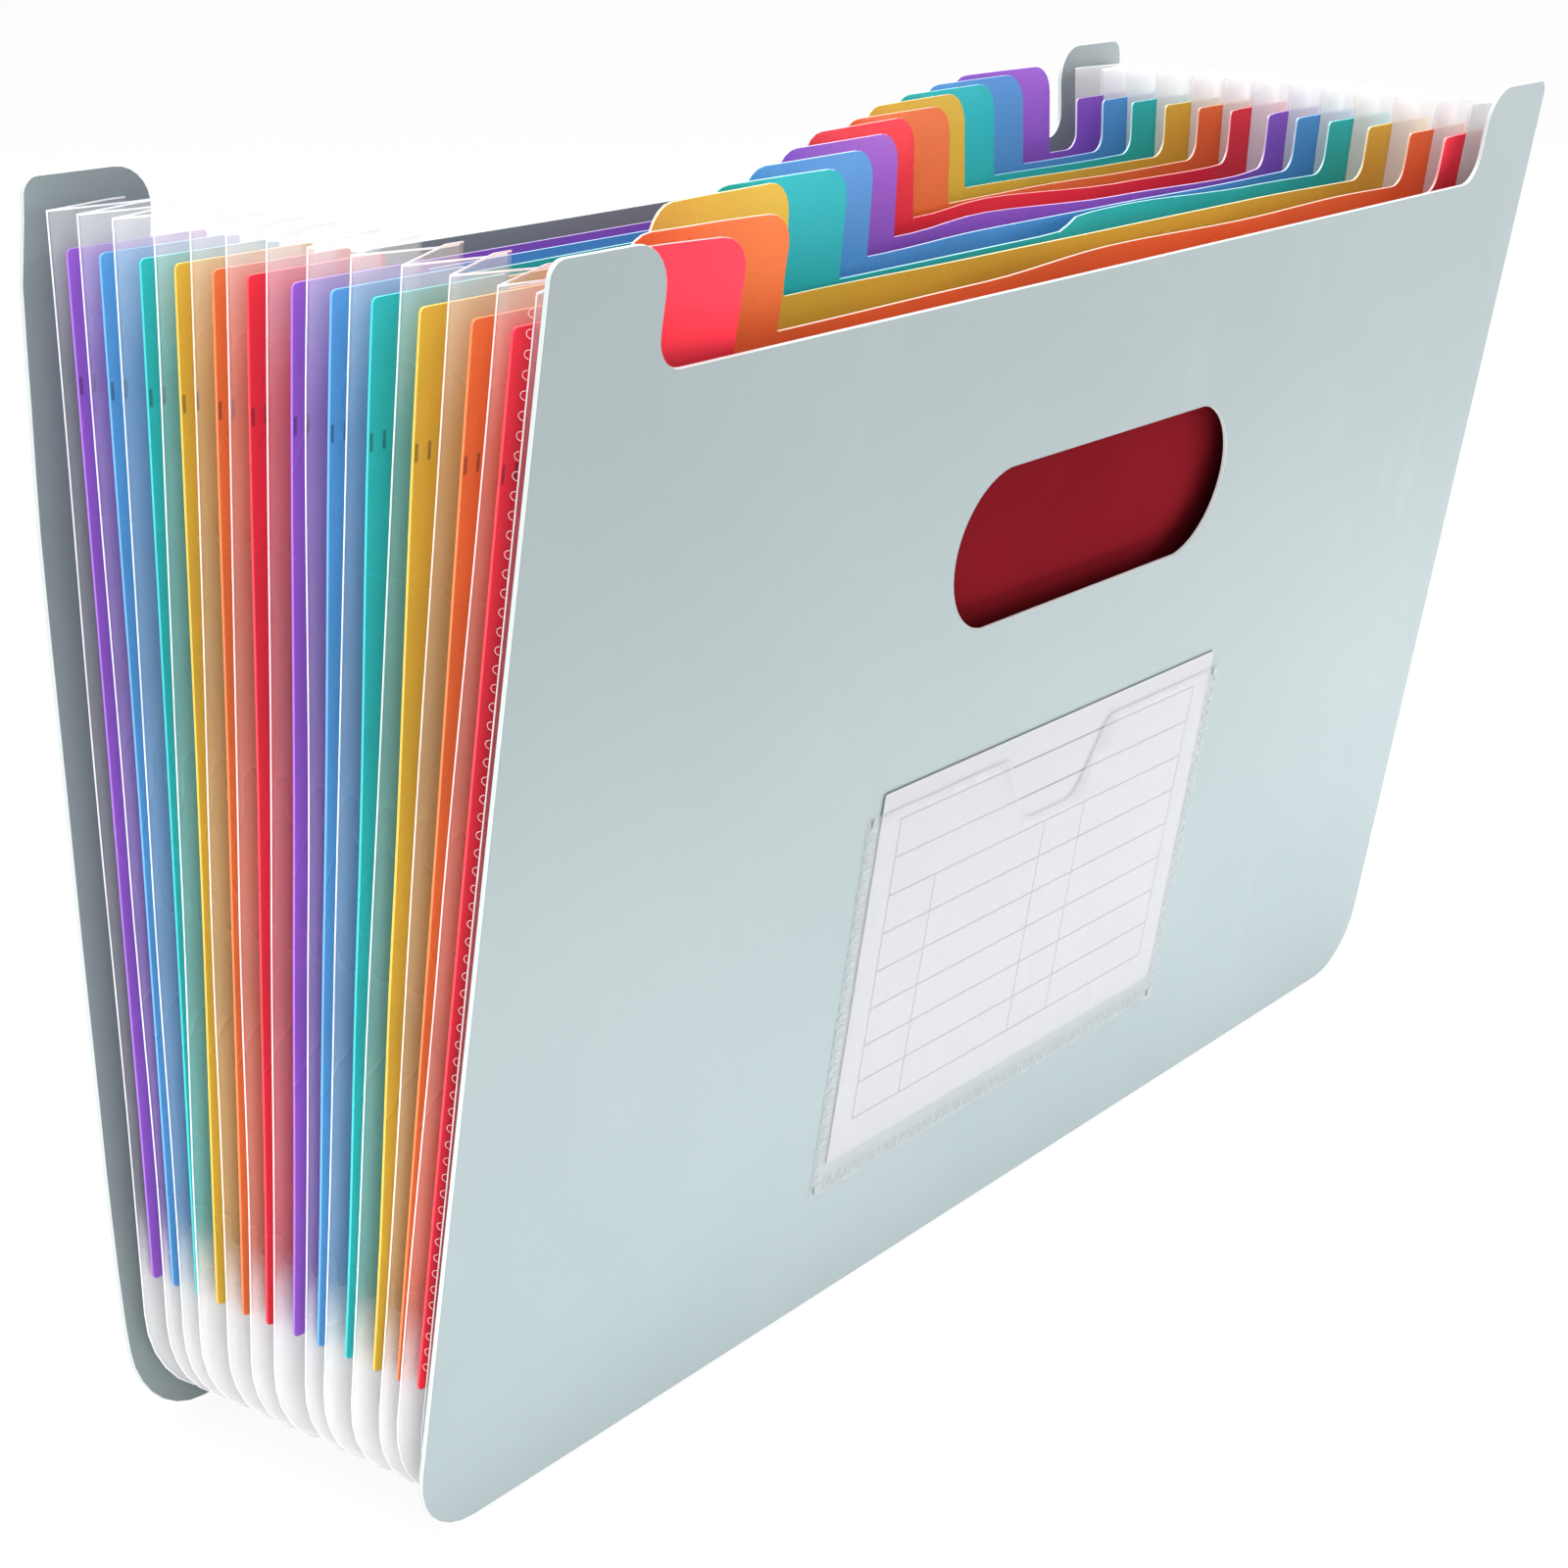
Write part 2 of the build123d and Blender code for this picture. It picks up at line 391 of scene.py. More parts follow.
def filmFinish():
    look = filmSurface
    inputs = [("Tone", colourSocket, (0.9, 0.9, 0.9, 1)), ("Haze", valueSocket, 0.15)]
    inputs += [("Frost", valueSocket, 0.4), ("Top", valueSocket, 0.0), ("Foot", valueSocket, 0.0)]
    tree, given, made = finishGroup("filmFinish", inputs, filmOutputs)
    where = flat(tree)
    along = parted(tree, where)[1]
    rise = parted(tree, flat(tree, "level"))[0]
    cloud = clouds(tree, where, look["cloudScale"], detail=4.0, stretch=look["cloudStretch"])
    dust = clouds(tree, where, look["dustScale"], detail=1.0, stretch=look["dustStretch"])
    uneven = between(tree, cloud, *look["cloudRange"], *look["uneven"])
    haze = times(tree, given.outputs["Haze"], uneven)
    right = between(tree, along, *look["rightAlong"])
    lifted = sums(tree, "ADD", rise, times(tree, right, look["rightLift"]))
    topMilk = times(tree, between(tree, lifted, *look["topRise"]), given.outputs["Top"])
    topMilk = times(tree, topMilk, between(tree, right, 0.0, 1.0, 1.0, look["rightGain"]))
    footMilk = times(tree, between(tree, rise, *look["footRise"]), given.outputs["Foot"])
    milk = larger(tree, topMilk, footMilk)
    dusty = between(tree, dust, *look["dustRange"], 0.0, look["dustShare"])
    feed(tree, mixed(tree, dusty, given.outputs["Tone"], (1, 1, 1, 1)), made.inputs["Color"])
    feed(tree, sums(tree, "ADD", haze, milk, clamp=True), made.inputs["Alpha"])
    feed(tree, times(tree, given.outputs["Frost"], uneven), made.inputs["Roughness"])
    feed(tree, sums(tree, "ADD", cloud, times(tree, dust, look["dustHeight"])), made.inputs["Height"])
    return tree


# printed card: paper with a thin ruled form, two wide rows over six rows in four columns;
# places are in flat units
formSurface = {
    "grainScale": 150.0,
    "grainShare": 0.06,
    "grainTone": (0.6, 0.6, 0.62, 1),
    "roughRange": (0.3, 0.7),
    "roughness": (0.55, 0.65),
    "firstRow": 0.397,
    "rowPitch": 0.0795,
    "rowLine": (0.033, 0.015),  # in shares of the pitch
    "rowEnd": (0.5415, 0.5405),
    "side": 0.54,
    "columns": (-0.384, 0.005, 0.155),
    "line": (0.0026, 0.0012),
    "formFoot": (0.394, 0.395),
    "formTop": (1.036, 1.035),
    "columnTop": (0.876, 0.875),
}


def formFinish():
    look = formSurface
    inputs = [("Paper", colourSocket, (0.8, 0.8, 0.8, 1)), ("Ink", colourSocket, (0.4, 0.4, 0.4, 1))]
    tree, given, made = finishGroup("formFinish", inputs, sheetOutputs)
    where = flat(tree)
    across, up = parted(tree, where)
    side = sums(tree, "ABSOLUTE", across)
    grain = clouds(tree, where, look["grainScale"], detail=3.0)
    row = sums(tree, "DIVIDE", sums(tree, "SUBTRACT", up, look["firstRow"]), look["rowPitch"])
    row = awayFrom(tree, sums(tree, "FRACT", sums(tree, "ADD", row, 0.5)), 0.5)
    row = times(tree, between(tree, row, *look["rowLine"]), between(tree, side, *look["rowEnd"]))
    overFoot = between(tree, up, *look["formFoot"])
    inForm = times(tree, overFoot, between(tree, up, *look["formTop"]))
    inColumns = times(tree, overFoot, between(tree, up, *look["columnTop"]))
    column = 0.0
    for at in look["columns"]:
        column = larger(tree, column, between(tree, awayFrom(tree, across, at), *look["line"]))
    border = between(tree, awayFrom(tree, side, look["side"]), *look["line"])
    ink = times(tree, larger(tree, row, border), inForm)
    ink = larger(tree, ink, times(tree, column, inColumns))
    paper = mixed(tree, times(tree, grain, look["grainShare"]), given.outputs["Paper"], look["grainTone"])
    feed(tree, mixed(tree, ink, paper, given.outputs["Ink"]), made.inputs["Color"])
    feed(tree, between(tree, grain, *look["roughRange"], *look["roughness"]), made.inputs["Roughness"])
    feed(tree, grain, made.inputs["Height"])
    return tree


coverGroup = coverFinish()
dividerGroup = dividerFinish()
filmGroup = filmFinish()
formGroup = formFinish()
bumpStrength = 0.5


def finish(name, group, inputs, bump, **plain):
    # a Principled material fed by one of the groups above
    material = bpy.data.materials.new(name)
    material.use_nodes = True
    tree = material.node_tree
    shader = tree.nodes["Principled BSDF"]
    node = tree.nodes.new("ShaderNodeGroup")
    node.node_tree = group
    for label, value in inputs.items():
        node.inputs[label].default_value = value
    tree.links.new(node.outputs["Color"], shader.inputs["Base Color"])
    tree.links.new(node.outputs["Roughness"], shader.inputs["Roughness"])
    if "Alpha" in node.outputs:
        tree.links.new(node.outputs["Alpha"], shader.inputs["Alpha"])
    bumps = tree.nodes.new("ShaderNodeBump")
    bumps.inputs["Strength"].default_value = bumpStrength
    bumps.inputs["Distance"].default_value = bump / mmPerMetre
    tree.links.new(node.outputs["Height"], bumps.inputs["Height"])
    tree.links.new(bumps.outputs[0], shader.inputs["Normal"])
    for label, value in plain.items():
        shader.inputs[label.replace("_", " ")].default_value = value
    return material


# sheets, cut from flat outlines
def filleted(corners, segments=7):
    # a closed outline from (u, v, radius) corners
    outline = []
    for i, (u, v, radius) in enumerate(corners):
        here = Vector((u, v))
        if radius <= 0:
            outline.append(here)
            continue
        before = (Vector(corners[i - 1][:2]) - here).normalized()
        after = (Vector(corners[(i + 1) % len(corners)][:2]) - here).normalized()
        half = before.angle(after) / 2
        centre = here + (before + after).normalized() * radius / math.sin(half)
        first = here + before * radius / math.tan(half) - centre
        last = here + after * radius / math.tan(half) - centre
        sweep = math.atan2(first.x * last.y - first.y * last.x, first.dot(last))
        for k in range(segments + 1):
            outline.append(centre + Matrix.Rotation(sweep * k / segments, 2) @ first)
    return outline


def newPiece(name, work, materials):
    mesh = bpy.data.meshes.new(name)
    work.to_mesh(mesh)
    work.free()
    for material in materials:
        mesh.materials.append(material)
    piece = bpy.data.objects.new(name, mesh)
    scene.collection.objects.link(piece)
    return piece


def cutSheet(name, outlines, uCuts, vCuts, shape, thick, materials, bevel=0.0):
    # flat outlines cut to a grid, bent by shape(u, v) to points in metres, and thickened
    work = bmesh.new()
    for outline in outlines:
        work.faces.new([work.verts.new((p[0], p[1], 0)) for p in outline])
    bmesh.ops.remove_doubles(work, verts=work.verts[:], dist=0.001)
    for cuts, axis in ((vCuts, (0, 1, 0)), (uCuts, (1, 0, 0))):
        for cut in cuts:
            whole = work.verts[:] + work.edges[:] + work.faces[:]
            bmesh.ops.bisect_plane(work, geom=whole, dist=0.0005, plane_co=Vector(axis) * cut, plane_no=axis)
    bmesh.ops.dissolve_degenerate(work, edges=work.edges[:], dist=0.001)
    uv = work.loops.layers.uv.new("flat")
    for face in work.faces:
        face.smooth = True
        for loop in face.loops:
            loop[uv].uv = loop.vert.co.xy / flatUnit
    for vert in work.verts:
        vert.co = shape(vert.co.x, vert.co.y)
    piece = newPiece(name, work, materials)
    solid = piece.modifiers.new("thickness", "SOLIDIFY")
    solid.thickness = thick / mmPerMetre
    solid.offset = 0
    solid.material_offset_rim = len(materials) - 1
    if bevel:
        ease = piece.modifiers.new("easedEdges", "BEVEL")
        ease.width = bevel / mmPerMetre
        ease.segments = 2
        ease.limit_method = "ANGLE"
        ease.angle_limit = math.radians(50)
        ease.harden_normals = True
    return piece


def weldLoops(name, spots, radius, material, bends=8, sides=5):
    # small open loops of weld bead, each from three points: its middle, one foot and its crown
    work = bmesh.new()
    for middle, foot, crown in spots:
        along, out = foot - middle, crown - middle
        lift = along.cross(out).normalized()
        angles = [math.pi * k / bends for k in range(bends + 1)]
        line = [middle + along * math.cos(a) + out * math.sin(a) for a in angles]
        rings = []
        for k, point in enumerate(line):
            aside = (line[min(k + 1, bends)] - line[max(k - 1, 0)]).normalized().cross(lift)
            ring = []
            for j in range(sides):
                a = math.tau * j / sides
                spoke = (aside * math.cos(a) + lift * math.sin(a)) * radius / mmPerMetre
                ring.append(work.verts.new(point + spoke))
            rings.append(ring)
        for near, far in zip(rings, rings[1:]):
            for j in range(sides):
                after = (j + 1) % sides
                work.faces.new([near[j], near[after], far[after], far[j]]).smooth = True
        work.faces.new(list(reversed(rings[0])))
        work.faces.new(rings[-1])
    bmesh.ops.recalc_face_normals(work, faces=work.faces[:])
    return newPiece(name, work, [material])


print("stage: covers")

coverLook = {
    "tone": (0.202, 0.243, 0.250, 1),
    # painted highlight: the cut edges take a much paler tone than the sheet
    "edge": (0.56, 0.60, 0.60, 1),
    "earWidth": 27.0,
    "earRise": 20.5,
    "earRadii": (3.0, 8.0, 6.0),  # outer, inner and root
    "footRadius": 15.0,
    "handle": (98.0, 31.5),
    "handleDrop": 49.5,
    "handleSteps": 24,
    "bevel": 0.25,
    "across": (-160, 160, 10),  # grid cuts: first, last and pace
    "up": (10, 215, 10),
}
sheetTone, edgeHighlightTone = {"Tone": coverLook["tone"]}, {"Tone": coverLook["edge"]}
coverMaterial = finish("coverSheet", coverGroup, sheetTone, bump=0.05, Specular_IOR_Level=0.35)
# painted highlight along the cut edges
coverEdgeHighlight = finish("coverCutEdgeHighlight", coverGroup, edgeHighlightTone, bump=0.03, Specular_IOR_Level=0.4)


def coverOutlines():
    # the upper and the lower half, which meet along the middle of the hand hole
    half, top = fan["width"] / 2, fan["height"]
    shoulder = top - coverLook["earRise"]
    earSide = half - coverLook["earWidth"]
    outer, inner, root = coverLook["earRadii"]
    level = shoulder - coverLook["handleDrop"]
    radius = coverLook["handle"][1] / 2
    bar = coverLook["handle"][0] / 2 - radius
    count = coverLook["handleSteps"]
    over = []
    for k in range(count + 1):
        c, s = math.cos(math.pi * k / count), math.sin(math.pi * k / count)
        if abs(c) > 1e-6:
            over.append((math.copysign(bar, c) + radius * c, level + radius * s))
    upper = [(half, top, outer), (earSide, top, inner), (earSide, shoulder, root)]
    upper += [(-earSide, shoulder, root), (-earSide, top, inner), (-half, top, outer), (-half, level, 0)]
    upper += [(u, v, 0) for u, v in reversed(over)] + [(half, level, 0)]
    lower = [(half, level, 0)] + [(u, 2 * level - v, 0) for u, v in over] + [(-half, level, 0)]
    lower += [(-half, 0, coverLook["footRadius"]), (half, 0, coverLook["footRadius"])]
    return [filleted(upper), filleted(lower)]


for node, place in (("front_cover", 0), ("rear_cover", pockets)):
    cover = cutSheet(f"{node}_sheet", coverOutlines(), steps(*coverLook["across"]), steps(*coverLook["up"]),
                     bentSheet(place), fan["coverThick"], [coverMaterial, coverEdgeHighlight], coverLook["bevel"])
    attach(cover, node)
    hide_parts(node)


print("stage: dividers")

dividerLook = {
    "tones": {
        "red": (0.95, 0.048, 0.075, 1),
        "orange": (0.90, 0.23, 0.072, 1),
        "yellow": (0.84, 0.56, 0.075, 1),
        "teal": (0.045, 0.60, 0.63, 1),
        "blue": (0.14, 0.43, 0.84, 1),
        "purple": (0.40, 0.15, 0.72, 1),
    },
    "clear": 0.35,
    "ior": 1.25,
    # painted shade: each sheet's tone is multiplied by this deep in its pocket, and the first sheet takes the
    # darker next one
    "depth": (0.45, 0.45, 0.45, 1),
    "firstShade": (0.13, 0.13, 0.13, 1),  # the first sheet lies in the dark behind the hand hole
    # how much of the painted highlight the cut edges take along the top
    "glintShare": 0.5,
    "halfWidth": 168.0,
    "foot": 30.0,
    "top": 199.5,
    "footRadius": 1.0,
    "earWidth": 30.0,
    "earRise": 11.5,
    "earRadius": 1.0,
    "earRoot": 4.0,
    "rootShare": 0.4,  # the ear's root takes at most this share of the room beside the tab
    "tabWidth": 40.0,
    "tabRise": 20.0,
    "tabRadius": 6.0,
    "tabRoot": 0.4,
    "firstTab": -157.6,
    "tabPitch": 22.2,
    "bevel": 0.1,
    "across": (-160, 160, 8),
    "marginCuts": (163, 166),
    "up": (36, 210, 9),
}
dividerNames = list(dividerLook["tones"])
dividerMaterials = {}
for name, tone in dividerLook["tones"].items():
    inputs = {"Tone": tone, "Edge": 0.0, "Depth": dividerLook["depth"]}
    sheet = finish(f"{name}Sheet", dividerGroup, inputs, bump=0.03, Specular_IOR_Level=0.0,
                   Transmission_Weight=dividerLook["clear"], IOR=dividerLook["ior"])
    # each sheet's cut edges take the painted highlight along the top
    edge = finish(f"{name}CutEdge", dividerGroup, {"Tone": tone, "Edge": dividerLook["glintShare"]}, bump=0.02)
    dividerMaterials[name] = [sheet, edge]
# the first sheet, behind the hand hole, takes the darker painted shade
inputs = {"Tone": dividerLook["tones"]["red"], "Edge": 0.0, "Depth": dividerLook["firstShade"]}
firstSheet = finish("firstSheet", dividerGroup, inputs, bump=0.03, Specular_IOR_Level=0.0)
firstMaterials = [firstSheet, dividerMaterials["red"][1]]


def dividerOutline(count):
    d = dividerLook
    half, top, tabRoot = d["halfWidth"], d["top"], d["tabRoot"]
    earSide = half - d["earWidth"]
    tip, tabTop = top + d["earRise"], top + d["tabRise"]
    left = d["firstTab"] + d["tabPitch"] * (count - 1)
    right = left + d["tabWidth"]
    radius = d["earRadius"]
    corners = [(-half, d["foot"], d["footRadius"]), (half, d["foot"], d["footRadius"])]
    corners += [(half, tip, radius), (earSide, tip, radius), (earSide, top, d["earRoot"])]
    corners += [(right, top, tabRoot), (right, tabTop, d["tabRadius"]), (left, tabTop, d["tabRadius"])]
    if left < -earSide:
        # the first tab grows out of the ear
        corners += [(left, tip, tabRoot)]
    else:
        root = min(d["earRoot"], d["rootShare"] * (left + earSide))
        corners += [(left, top, min(tabRoot, root)), (-earSide, top, root), (-earSide, tip, radius)]
    corners += [(-half, tip, radius)]
    return filleted(corners, segments=5)


marginCuts = list(dividerLook["marginCuts"])
dividerAcross = [-cut for cut in reversed(marginCuts)] + steps(*dividerLook["across"]) + marginCuts
dividerUp = steps(*dividerLook["up"])
for count in range(1, fan["dividers"] + 1):
    name = dividerNames[(count - 1) % len(dividerNames)]
    materials = firstMaterials if count == 1 else dividerMaterials[name]
    divider = cutSheet(f"divider_{count}_sheet", [dividerOutline(count)], dividerAcross, dividerUp,
                       bentSheet(count), fan["dividerThick"], materials, dividerLook["bevel"])
    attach(divider, f"divider_{count}")
    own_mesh(divider)
    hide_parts(f"divider_{count}")


print("stage: pleats")

pleatLook = {
    "halfWidth": 169.0,
    "top": 217.0,
    "topRing": 0.0015,  # this and the next are shares of the side's length
    "sidePace": 0.036,
    "footPace": 14,
    "rise": 1.0,
    "bend": 22.0,
    "bendSteps": 8,
    "depth": 20.0,
    "footDepth": 31.0,
    "weldBend": 2.0,
    "weldGap": 0.06,
    "flange": 4.0,
    "flangeStep": 0.3,
    "film": 0.12,
    "bead": 0.18,
    "beadDepth": 0.25,
    "noseDepth": 0.06,
    "noseShare": 0.8,
    "leafShares": (0.6, 0.25),
    "crease": 0.7,
    # this and the next: how far the painted highlight reaches from the fold and under the top edge
    "creaseBand": 0.5,
    "topBand": 0.4,
    "foldRoom": 1.0,
    "wave": 0.25,
    "waveScale": (0.013, 0.017),
    "waveStep": 40,  # from pleat to pleat
    "waveRow": 3.7,
    "followLevel": 120,
    "tone": (0.95, 0.95, 0.96, 1),
    "foldTone": (0.97, 0.97, 0.97, 1),
    "haze": 0.045,
    "frost": 0.38,
    "topMilk": 0.05,
    "footMilk": 0.36,
    "loopPitch": 3.0,
    "loopSpan": (36, 214),
    "loopHalf": 0.7,
    "loopOut": 0.3,
    "loopBack": 0.75,
    "loopRadius": 0.05,
}
filmInputs = {"Tone": pleatLook["tone"], "Haze": pleatLook["haze"], "Frost": pleatLook["frost"],
              "Top": pleatLook["topMilk"], "Foot": pleatLook["footMilk"]}
pleatFilm = finish("pleatFilm", filmGroup, filmInputs, bump=0.10)
beadInputs = {"Tone": pleatLook["foldTone"], "Haze": 0.4, "Frost": 0.3}
# painted highlight: the fold and the top edge take whiter, more opaque film
foldHighlightInputs = {"Tone": pleatLook["foldTone"], "Haze": 0.8, "Frost": 0.35}
loopBead = finish("loopBead", filmGroup, beadInputs, bump=0.02)
pleatFoldHighlight = finish("pleatFoldHighlight", filmGroup, foldHighlightInputs, bump=0.05)


def pleatPath():
    # pairs of a point of the fold and the weld that a leaf reaches from there, from left top to right top
    p = pleatLook
    half, top, bend, weldBend = p["halfWidth"], p["top"], p["bend"], p["weldBend"]
    low = p["rise"] + bend
    weldHalf, weldLow = half - p["depth"], p["rise"] + p["footDepth"]
    path = []
    # a second ring close under the top edge keeps the painted highlight along that edge narrow
    for t in [0.0, p["topRing"]] + steps(0, 1, p["sidePace"])[1:]:
        path.append(((-half, top + (low - top) * t), (-weldHalf, top + (weldLow - weldBend - top) * t)))
    for k in range(1, p["bendSteps"] + 1):
        angle = math.pi / 2 * k / p["bendSteps"]
        c, s = math.cos(angle), math.sin(angle)
        foldPoint = (bend - half - bend * c, low - bend * s)
        path.append((foldPoint, (weldBend - weldHalf - weldBend * c, weldLow - weldBend + weldBend * s)))
    path += [((u, p["rise"]), (u, weldLow)) for u in steps(bend - half, 0, p["footPace"])[1:-1]]
    middle = [((0.0, p["rise"]), (0.0, weldLow))]
    return path + middle + [((-fu, fv), (-wu, wv)) for (fu, fv), (wu, wv) in reversed(path)]


def leafSection(depth, front, rear, fold):
    # the folded film's closed section as (inward, to the front) pairs, outside first, with a bead at the fold
    film, bead, beadDepth = pleatLook["film"], pleatLook["bead"] / 2, pleatLook["beadDepth"]
    root = depth - pleatLook["flange"]
    innerRoot = root + pleatLook["flangeStep"]
    shares = pleatLook["leafShares"]
    noseDepth, nose = pleatLook["noseDepth"], pleatLook["noseShare"] * bead

    def leaf(weld, share, shift=0.0):
        return root * share, fold + (weld - fold) * share + shift
    section = [(depth, front), (root, front)] + [leaf(front, share) for share in shares]
    section += [(beadDepth, fold + bead), (noseDepth, fold + nose), (0.0, fold)]
    section += [(noseDepth, fold - nose), (beadDepth, fold - bead)]
    section += [leaf(rear, share) for share in reversed(shares)] + [(root, rear), (depth, rear)]
    section += [(depth, rear + film), (innerRoot, rear + film)]
    section += [leaf(rear, share, film) for share in shares] + [(pleatLook["crease"], fold)]
    section += [leaf(front, share, -film) for share in reversed(shares)]
    section += [(innerRoot, front - film), (depth, front - film)]
    return section


def pleatRings(work, count):
    # rings of film points round the pleat, and the (front, rear) welds that they reach
    place = count - 0.5
    lean = leanOf(place)
    frontThick = fan["coverThick"] if count == 1 else fan["dividerThick"]
    rearThick = fan["coverThick"] if count == pockets else fan["dividerThick"]
    waveU, waveV = pleatLook["waveScale"]
    rings, welds, length, last = [], [], 0.0, None
    for (foldU, foldV), (weldU, weldV) in pleatPath():
        depth = math.dist((foldU, foldV), (weldU, weldV))
        inU, inV = (weldU - foldU) / depth, (weldV - foldV) / depth
        gap = pitch / 2 * math.cos(lean) + weldV * math.tan(turn / 2) - pleatLook["weldGap"]
        front = gap - frontThick / 2 + sheetBow(count - 1, weldU, weldV)
        rear = rearThick / 2 - gap + sheetBow(count, weldU, weldV)
        welds.append((front, rear))
        waveAt = (foldU * waveU + pleatLook["waveStep"] * count, foldV * waveV, pleatLook["waveRow"])
        fold = foldBow(count, foldU, foldV) + pleatLook["wave"] * noise.noise(waveAt)
        fold = min(max(fold, rear + pleatLook["foldRoom"]), front - pleatLook["foldRoom"])
        if last is not None:
            length += math.dist(last, (foldU, foldV))
        last = (foldU, foldV)
        ring = []
        for inward, n in leafSection(depth, front, rear, fold):
            level = foldV + inV * inward
            vert = work.verts.new(inFolder(place, foldU + inU * inward, level, n))
            ring.append((vert, inward, math.copysign(inward, n - fold), length, level))
        rings.append(ring)
    return rings, welds


def layFilm(work, rings, uv, uvLevel):
    def lay(corners):
        face = work.faces.new([corner[0] for corner in corners])
        face.smooth = True
        # the fold and the top edge take the second material, a painted highlight
        atFold = max(corner[1] for corner in corners) < pleatLook["creaseBand"]
        atTop = min(corner[4] for corner in corners) > pleatLook["top"] - pleatLook["topBand"]
        face.material_index = 1 if atFold or atTop else 0
        for loop, (vert, inward, leaf, along, level) in zip(face.loops, corners):
            loop[uv].uv = (leaf / flatUnit, along / flatUnit)
            loop[uvLevel].uv = (level / flatUnit, inward / flatUnit)
    for near, far in zip(rings, rings[1:]):
        for k in range(len(near)):
            after = (k + 1) % len(near)
            lay([near[k], near[after], far[after], far[k]])
    lay(list(reversed(rings[0])))
    lay(rings[-1])
    bmesh.ops.recalc_face_normals(work, faces=work.faces[:])


def firstFoldLoops():
    # a row of weld loops stands off the first fold, on the left
    p = pleatLook
    side = -p["halfWidth"]
    spots = []
    for v in steps(*p["loopSpan"], p["loopPitch"]):
        n = foldBow(1, side, v)
        points = (side, v, n), (side, v + p["loopHalf"], n), (side - p["loopOut"], v, n - p["loopBack"])
        spots.append([inFolder(0.5, *point) for point in points])
    return weldLoops("pleat_1_weld_loops", spots, p["loopRadius"], loopBead)


for count in range(1, pockets + 1):
    work = bmesh.new()
    uv, uvLevel = work.loops.layers.uv.new("flat"), work.loops.layers.uv.new("level")
    rings, welds = pleatRings(work, count)
    layFilm(work, rings, uv, uvLevel)
    pleat = newPiece(f"pleat_{count}_film", work, [pleatFilm, pleatFoldHighlight])
    pleat.data.set_sharp_from_angle(angle=math.radians(35))
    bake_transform(pleat)
    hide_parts(f"pleat_{count}")
    if count == 1:
        loops = firstFoldLoops()
        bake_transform(loops)


print("stage: label")

labelLook = {
    "width": 129.0,
    "height": 80.5,
    "rise": 25.5,
    "sideSeam": 3.5,
    "footSeam": 6.5,
    "notch": (37.0, 18.0, 15.5),  # width at the top and at the floor, and depth
    "cornerRadius": 0.8,
    "notchRadii": (2.0, 6.0),  # at the top and at the floor
    "film": 0.25,
    "lie": 0.15,
    "stand": 0.6,
    "swell": 0.25,
    "swellFoot": 34,
    "swellRise": 40,
    "sideEase": 0.4,
    "footEase": 0.6,
    "easeRun": 0.9,
    "across": (-56, 56, 8),
    "up": (38, 104, 8),
    "sideCuts": (60.5, 61.0, 61.4, 61.9),
    "footCuts": (31.4, 31.8, 32.2, 32.6),
    "haze": 0.16,
    "filmTone": (0.53, 0.535, 0.55, 1),
    "weldTone": (0.42, 0.46, 0.47, 1),
    "ribPitch": 2.7,
    "ribsUp": (29, 103),
    "ribsAcross": (-59, 59),
    "ribHalf": 0.95,
    "ribRun": 2.4,
    "ribSide": 61.6,
    "ribFoot": 28.6,
    "ribRadius": 0.11,
    "ribLift": 0.28,
    "markTone": (0.22, 0.27, 0.27, 1),
    "marks": ((-62.8, 104.6), (62.8, 104.6), (-62.8, 27.2), (62.8, 27.2)),
    "markHalf": (0.45, 0.9),
    "markThick": 0.06,
    "markLift": 0.3,
    "markRadius": 0.4,
    "card": (121.0, 77.7, 0.3),
    "cardFoot": 32.2,
    "cardLift": 0.3,
    "cardRadius": 0.5,
    "cardBevel": 0.05,
    "cardAcross": (-50, 50, 12),
    "cardUp": (40, 104, 10),
    "paper": (0.285, 0.285, 0.297, 1),
    "ink": (0.14, 0.145, 0.155, 1),
}
filmInputs = {"Tone": labelLook["filmTone"], "Haze": labelLook["haze"], "Frost": 0.32}
weldInputs = {"Tone": labelLook["weldTone"], "Haze": 0.45, "Frost": 0.3}
paperInputs = {"Paper": labelLook["paper"], "Ink": labelLook["ink"]}
labelFilm = finish("labelFilm", filmGroup, filmInputs, bump=0.03, Specular_IOR_Level=0.5)
labelWeld = finish("labelWeld", filmGroup, weldInputs, bump=0.02, Specular_IOR_Level=0.6)
labelMark = finish("labelMark", coverGroup, {"Tone": labelLook["markTone"]}, bump=0.01)
labelPaper = finish("labelPaper", formGroup, paperInputs, bump=0.02, Specular_IOR_Level=0.3)
coverFace = fan["coverThick"] / 2


def onCover(lift):
    return lambda u, v: inFolder(0, u, v, coverFace + lift)


def pocketShape(u, v):
    # the film lies on the cover at its three seams and stands over the card between them
    inner = labelLook["width"] / 2 - labelLook["sideSeam"]
    easeRun = labelLook["easeRun"]
    side = smooth((inner + labelLook["sideEase"] - abs(u)) / easeRun)
    low = smooth((v - labelLook["rise"] - labelLook["footSeam"] + labelLook["footEase"]) / easeRun)
    swell = 0.0
    if abs(u) < inner:
        rising = smooth((v - labelLook["swellFoot"]) / labelLook["swellRise"])
        swell = labelLook["swell"] * (1 - (u / inner) ** 2) * rising
    return inFolder(0, u, v, coverFace + labelLook["lie"] + (labelLook["stand"] + swell) * side * low)


